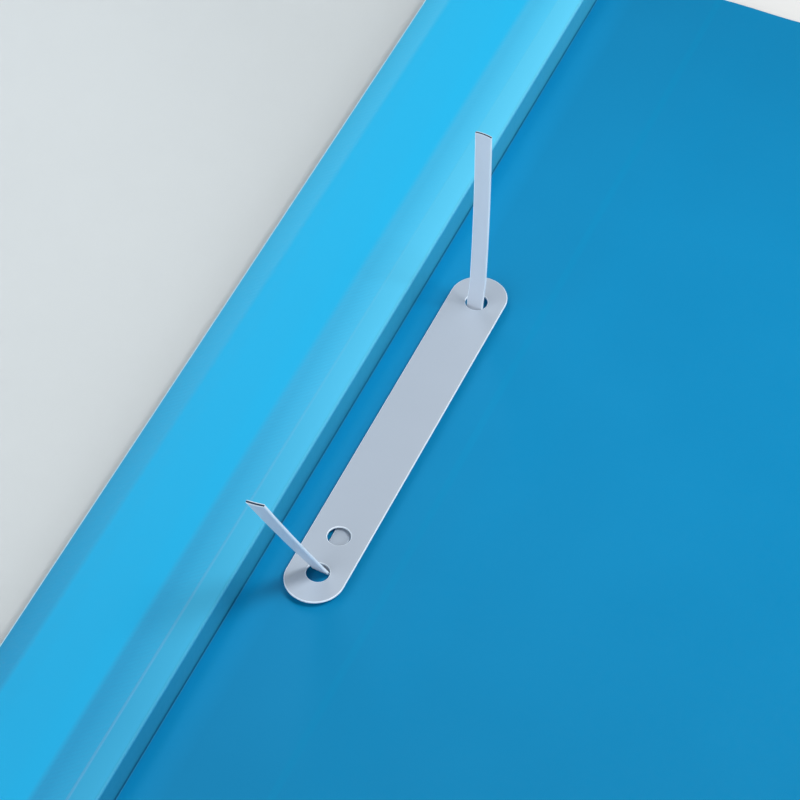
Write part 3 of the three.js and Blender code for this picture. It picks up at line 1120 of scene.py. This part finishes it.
def bar_mesh():
    """The bar's outline and holes as a filled curve with a rounded rim, turned into a mesh."""
    curve = bpy.data.curves.new("bar_plan", "CURVE")
    curve.dimensions = "2D"
    curve.fill_mode = "BOTH"
    curve.extrude = ((BAR_TOP - BAR_BOTTOM) / 2 - BAR_RIM) * MM
    curve.bevel_depth = BAR_RIM * MM
    curve.bevel_resolution = 3
    curve.offset = -BAR_RIM * MM
    radius = BAR_WIDTH / 2
    end = BAR_LENGTH / 2 - radius
    outline = []
    for centre, first in ((end, 0), (-end, math.pi)):
        for step in range(BAR_END_STEPS + 1):
            angle = first + math.pi * step / BAR_END_STEPS
            outline.append((radius * math.cos(angle), centre + radius * math.sin(angle)))
    ring(curve, outline)
    for across, along in HOLE_PLACES:
        hole = []
        for step in range(HOLE_STEPS):
            angle = -2 * math.pi * step / HOLE_STEPS
            x = across + HOLE_RADIUS * math.cos(angle)
            hole.append((x, along + HOLE_RADIUS * math.sin(angle)))
        ring(curve, hole)
    plan = bpy.data.objects.new("bar_plan", curve)
    bpy.context.scene.collection.objects.link(plan)
    graph = bpy.context.evaluated_depsgraph_get()
    data = bpy.data.meshes.new_from_object(plan.evaluated_get(graph))
    bpy.data.objects.remove(plan)
    bpy.data.curves.remove(curve)
    mesh = bmesh.new()
    mesh.from_mesh(data)
    bpy.data.meshes.remove(data)
    return mesh


def pressing_bar():
    mesh = bar_mesh()
    bmesh.ops.remove_doubles(mesh, verts=mesh.verts, dist=MERGE_DISTANCE * MM)
    bmesh.ops.translate(mesh, verts=mesh.verts, vec=(0, 0, (BAR_TOP + BAR_BOTTOM) / 2 * MM))
    bmesh.ops.recalc_face_normals(mesh, faces=mesh.faces)
    for face in mesh.faces:
        face.normal_update()
        # Faces that are not level take the painted rim highlight.
        face.material_index = 0 if abs(face.normal.z) > LEVEL_COSINE else 1
    piece = finished("pressing_bar", mesh, [bar_material, rim_highlight_material], level_faces=True)
    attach(piece, "bar")
    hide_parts("compressor_bar")


# Studio


def pointed(direction):
    """The turn that points a light or a camera in a direction."""
    return Vector(direction).to_track_quat("-Z", "Y").to_euler()


def floor():
    mesh = bmesh.new()
    bmesh.ops.create_grid(mesh, x_segments=1, y_segments=1, size=FLOOR_REACH)
    bmesh.ops.translate(mesh, verts=mesh.verts, vec=(0, 0, -FLOOR_DROP))
    shader = Shader("floor")
    cloud = shader.between(shader.noise(shader.own(), scale=6, detail=2), 0, 1)
    base = shader.mixed(cloud, colour(0.74, 0.74, 0.73), colour(0.77, 0.77, 0.76))
    material = shader.finish(shader.principled(base, roughness=0.9, Specular_IOR_Level=0.1))
    finished("floor", mesh, [material])


def softbox(name, place, width, power, tint):
    light = bpy.data.lights.new(name, "AREA")
    light.size = width
    light.energy = power
    light.color = tint
    lamp = bpy.data.objects.new(name, light)
    lamp.location = place
    lamp.rotation_euler = pointed(-Vector(place))
    lamp.visible_camera = False
    bpy.context.scene.collection.objects.link(lamp)


def studio():
    scene = bpy.context.scene
    scene.view_settings.view_transform = "Standard"
    world = bpy.data.worlds.new("studio")
    scene.world = world
    world.use_nodes = True
    wiring = Wiring(world.node_tree)
    background = world.node_tree.nodes["Background"]
    background.inputs["Color"].default_value = colour(0.94, 0.97, 1.0)
    direction = wiring.node("ShaderNodeTexCoord").outputs["Generated"]
    total = WALL_LEVEL
    for aim, strength, (fade_start, fade_end) in GLOWS.values():
        towards = wiring.node("ShaderNodeVectorMath", operation="DOT_PRODUCT")
        towards.inputs[1].default_value = Vector(aim).normalized()
        wiring.feed(towards.inputs[0], direction)
        cosine = towards.outputs["Value"]
        glow = wiring.ranged(cosine, fade_start, fade_end, 0, strength, easing="SMOOTHSTEP")
        total = wiring.math("ADD", glow, total)
    wiring.feed(background.inputs["Strength"], total)
    for name, settings in SOFTBOXES.items():
        softbox(name, *settings)


def camera():
    data = bpy.data.cameras.new("camera")
    data.lens = CAMERA_LENS
    data.sensor_width = SENSOR_WIDTH
    data.clip_start = NEAR_LIMIT * MM
    eye = bpy.data.objects.new("camera", data)
    eye.location = Vector(CAMERA_PLACE) * MM
    eye.rotation_euler = pointed(CAMERA_DIRECTION)
    bpy.context.scene.collection.objects.link(eye)
    bpy.context.scene.camera = eye


camera()
floor()
studio()
back_sheet()
spine_sheet()
clear_cover()
paper_label()
strip_base()
prong_strip("upper")
prong_strip("lower")
pressing_bar()
